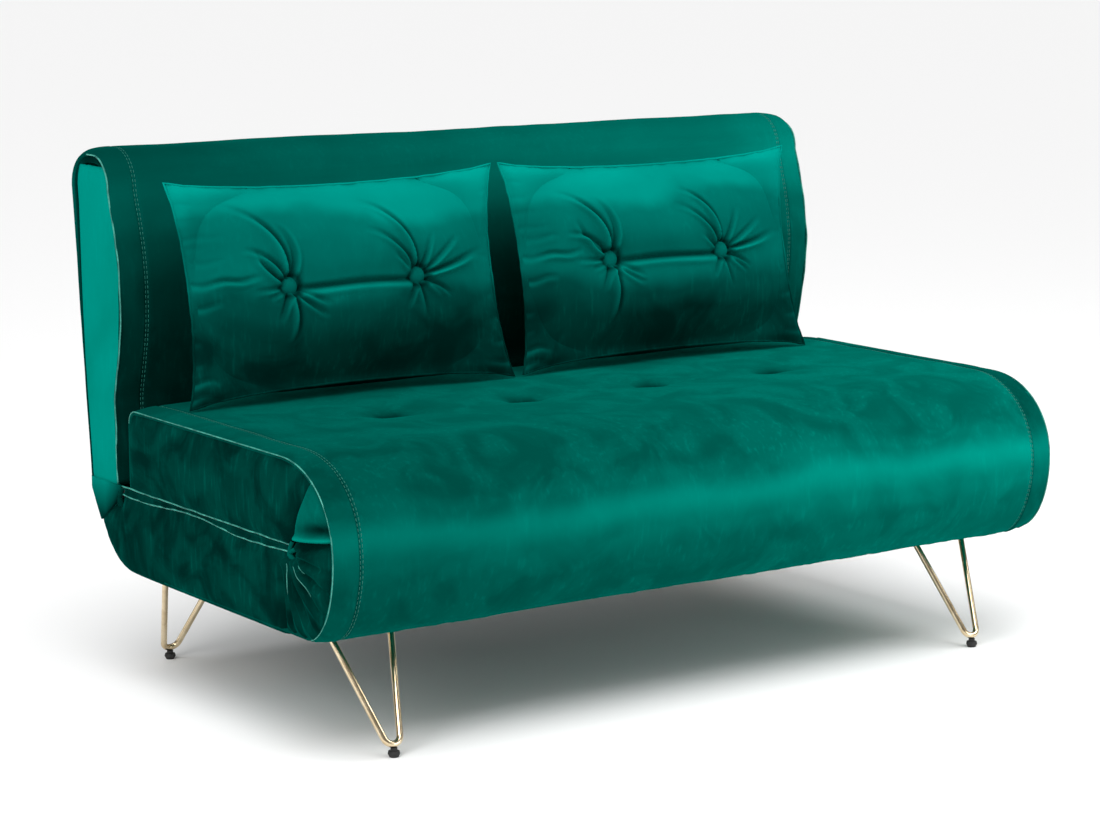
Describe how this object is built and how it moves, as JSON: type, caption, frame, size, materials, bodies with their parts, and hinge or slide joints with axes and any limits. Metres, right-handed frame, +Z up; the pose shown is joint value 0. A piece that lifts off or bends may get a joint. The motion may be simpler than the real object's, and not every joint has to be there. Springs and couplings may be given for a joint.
{
  "type": "futon sofa bed",
  "caption": "Two-seat fold-out sofa bed in tufted velvet on hairpin legs, with throw pillows; the seat unrolls over the nose and the back reclines flat.",
  "frame": {"origin": "on the floor under the middle of the sofa", "axes": "+X to the right of someone looking at its front, +Y towards the back, +Z up"},
  "size_m": [1.36, 0.795, 0.829],
  "materials": {
    "velvet": "short pile velvet with a strong sheen",
    "foam": "open-cell foam and fibre filling",
    "painted_steel": "matt powder coat",
    "champagne_metal": "polished champagne-gold plating",
    "zinc": "zinc plated",
    "beech": "bent beech ply, clear lacquer",
    "black_plastic": "moulded plastic, fine grain",
    "rubber": "matt"
  },
  "bodies": {
    "base": {"base_frame": "painted_steel", "base_slats": "beech", "base_slat_holders": "black_plastic", "base_foam": "foam", "base_cover": "velvet", "base_front_brackets": "painted_steel", "base_rear_brackets": "painted_steel", "rear_hinge_pins": "zinc", "rear_corner_pad": "velvet", "front_left_leg": "champagne_metal", "front_right_leg": "champagne_metal", "rear_left_leg": "champagne_metal", "rear_right_leg": "champagne_metal", "leg_feet": "rubber", "leg_screws": "champagne_metal"},
    "nose": {"nose_rods": "painted_steel", "nose_links": "painted_steel", "nose_hinge_pins": "zinc", "nose_foam": "foam", "nose_cover": "velvet"},
    "seat": {"seat_frame": "painted_steel", "seat_slats": "beech", "seat_slat_holders": "black_plastic", "seat_foam_upper": "foam", "seat_foam_lower": "foam", "seat_cover": "velvet", "seat_hinge_brackets": "painted_steel", "seat_tuft_buttons": "velvet", "fold_leg_bolts": "zinc", "fold_leg_washers": "zinc"},
    "fold_leg_left": {"fold_leg_left": "painted_steel", "fold_leg_left_cap": "black_plastic"},
    "fold_leg_right": {"fold_leg_right": "painted_steel", "fold_leg_right_cap": "black_plastic"},
    "back": {"back_frame": "painted_steel", "back_slats": "beech", "back_slat_holders": "black_plastic", "back_foam_front": "foam", "back_foam_rear": "foam", "back_cover": "velvet", "back_hinge_brackets": "painted_steel"},
    "pillow_left": {"pillow_left_filling": "foam", "pillow_left_cover": "velvet", "pillow_left_buttons": "velvet"},
    "pillow_right": {"pillow_right_filling": "foam", "pillow_right_cover": "velvet", "pillow_right_buttons": "velvet"}
  },
  "joints": [
    {"name": "nose_fold", "type": "hinge", "parent": "base", "child": "nose", "pos_m": [0, -0.3315, 0.243], "axis": [1, 0, 0], "range_deg": [0, 90]},
    {"name": "seat_unfold", "type": "hinge", "parent": "nose", "child": "seat", "pos_m": [0, -0.3315, 0.375], "axis": [1, 0, 0], "range_deg": [0, 90]},
    {"name": "back_recline", "type": "hinge", "parent": "base", "child": "back", "pos_m": [0, 0.2645, 0.295], "axis": [-1, 0, 0], "range_deg": [0, 88], "deforming": ["rear_corner_pad"]},
    {"name": "fold_leg_left_turn", "type": "hinge", "parent": "seat", "child": "fold_leg_left", "pos_m": [-0.57, 0.2355, 0.375], "axis": [0, -1, 0], "range_deg": [0, 90]},
    {"name": "fold_leg_right_turn", "type": "hinge", "parent": "seat", "child": "fold_leg_right", "pos_m": [0.57, 0.2355, 0.375], "axis": [0, 1, 0], "range_deg": [0, 90]},
    {"name": "pillow_left_move", "type": "hinge", "parent": "seat", "child": "pillow_left", "pos_m": [-0.335, 0.2055, 0.351], "axis": [-1, 0, 0], "range_deg": [0, 258.5]},
    {"name": "pillow_right_move", "type": "hinge", "parent": "seat", "child": "pillow_right", "pos_m": [0.275, 0.2055, 0.351], "axis": [-1, 0, 0], "range_deg": [0, 258.5]}
  ],
  "couplings": [
    {"joint": "seat_unfold", "follows": "nose_fold", "ratio": 1},
    {"joint": "fold_leg_left_turn", "follows": "nose_fold", "ratio": 1},
    {"joint": "fold_leg_right_turn", "follows": "nose_fold", "ratio": 1},
    {"joint": "pillow_left_move", "follows": "nose_fold", "ratio": 2.8667},
    {"joint": "pillow_right_move", "follows": "nose_fold", "ratio": 2.8667}
  ]
}
